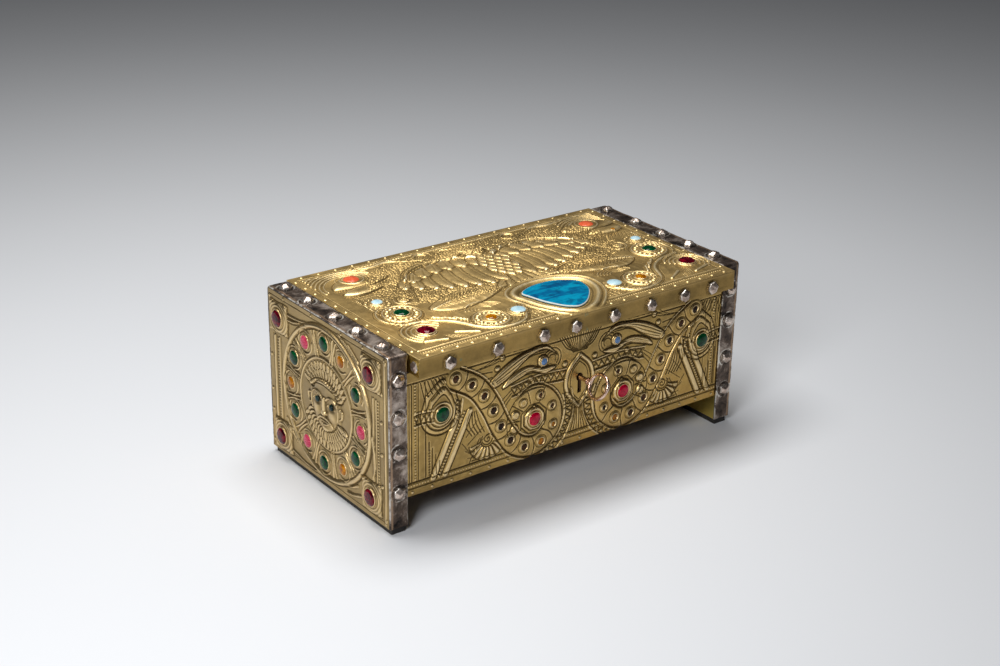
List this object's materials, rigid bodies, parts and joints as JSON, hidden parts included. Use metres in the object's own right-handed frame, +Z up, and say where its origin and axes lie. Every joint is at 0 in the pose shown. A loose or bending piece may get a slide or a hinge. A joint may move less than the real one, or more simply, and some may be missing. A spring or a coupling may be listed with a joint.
{
  "type": "reliquary casket",
  "caption": "Rectangular wooden casket dressed in embossed brass, with dark nailed end straps, set stones, a hinged overhanging lid and a key in its lock.",
  "frame": {"origin": "middle of the underside of the whole casket's box, with the lid shut and the key in its lock", "axes": "+X along the front to the viewer's right, +Y from the front to the hinges, +Z up"},
  "size_m": [0.3084, 0.1856, 0.1305],
  "materials": {
    "wood": "oiled dark hardwood",
    "foot_strip": "blackened wood",
    "brass_sheet": "embossed antique brass with dark grooves",
    "strap_metal": "dark patinated band with worn warm edges",
    "hinge_brass": "plain worn brass",
    "lock_steel": "plain steel",
    "key_metal": "worn coppered steel",
    "garnet": "faceted dark red",
    "coral": "polished opaque coral",
    "green_stone": "polished deep green over foil",
    "rose_stone": "polished silky rose",
    "ruby": "polished ruby red",
    "amber_stone": "polished amber",
    "pale_stone": "milky pale blue",
    "small_blue_stone": "small opaque blue",
    "dark_green_stone": "small dark green",
    "blue_enamel": "glossy cyan blue enamel with darker streaks"
  },
  "bodies": {
    "box": {"end_board_left": "wood", "foot_strip_left": "foot_strip", "strap_left": "strap_metal", "end_sheet_left": "brass_sheet", "end_board_right": "wood", "foot_strip_right": "foot_strip", "strap_right": "strap_metal", "end_sheet_right": "brass_sheet", "end_sheet_left_green_stone_1": "green_stone", "end_sheet_left_amber_stone_2": "amber_stone", "end_sheet_left_green_stone_3": "green_stone", "end_sheet_left_rose_stone_4": "rose_stone", "end_sheet_left_green_stone_5": "green_stone", "end_sheet_left_amber_stone_6": "amber_stone", "end_sheet_left_green_stone_7": "green_stone", "end_sheet_left_rose_stone_8": "rose_stone", "end_sheet_left_green_stone_9": "green_stone", "end_sheet_left_amber_stone_10": "amber_stone", "end_sheet_left_green_stone_11": "green_stone", "end_sheet_left_rose_stone_12": "rose_stone", "end_sheet_left_garnet_1": "garnet", "end_sheet_left_garnet_2": "garnet", "end_sheet_left_garnet_3": "garnet", "end_sheet_left_garnet_4": "garnet", "end_sheet_left_mask_eye_1": "dark_green_stone", "end_sheet_left_mask_eye_2": "dark_green_stone", "front_board": "wood", "back_board": "wood", "bottom_board": "wood", "front_sheet": "brass_sheet", "back_sheet": "brass_sheet", "front_ruby_left": "ruby", "front_green_stone_left": "green_stone", "front_blue_stone_left": "small_blue_stone", "front_ruby_right": "ruby", "front_green_stone_right": "green_stone", "front_blue_stone_right": "small_blue_stone", "hinge_left_box_leaf": "hinge_brass", "hinge_right_box_leaf": "hinge_brass", "lock_case": "lock_steel"},
    "lid": {"lid_board": "wood", "lid_cover": "brass_sheet", "lid_coral_left": "coral", "lid_pale_stone_left": "pale_stone", "lid_green_stone_left": "green_stone", "lid_garnet_left": "garnet", "lid_amber_stone_left": "amber_stone", "lid_lower_pale_stone_left": "pale_stone", "lid_coral_right": "coral", "lid_pale_stone_right": "pale_stone", "lid_green_stone_right": "green_stone", "lid_garnet_right": "garnet", "lid_amber_stone_right": "amber_stone", "lid_lower_pale_stone_right": "pale_stone", "lid_tiny_amber": "amber_stone", "lid_blue_plaque": "blue_enamel", "hinge_left_lid_leaf": "hinge_brass", "hinge_right_lid_leaf": "hinge_brass"},
    "key": {"key": "key_metal"}
  },
  "joints": [
    {"name": "lid_hinge", "type": "hinge", "parent": "box", "child": "lid", "pos_m": [0, 0.0903, 0.1132], "axis": [-1, 0, 0], "range_deg": [0, 100]},
    {"name": "key_turn", "type": "hinge", "parent": "box", "child": "key", "pos_m": [0.0059, -0.0829, 0.0734], "axis": [0, 1, 0], "range_deg": [-25.7, 154.3]}
  ]
}
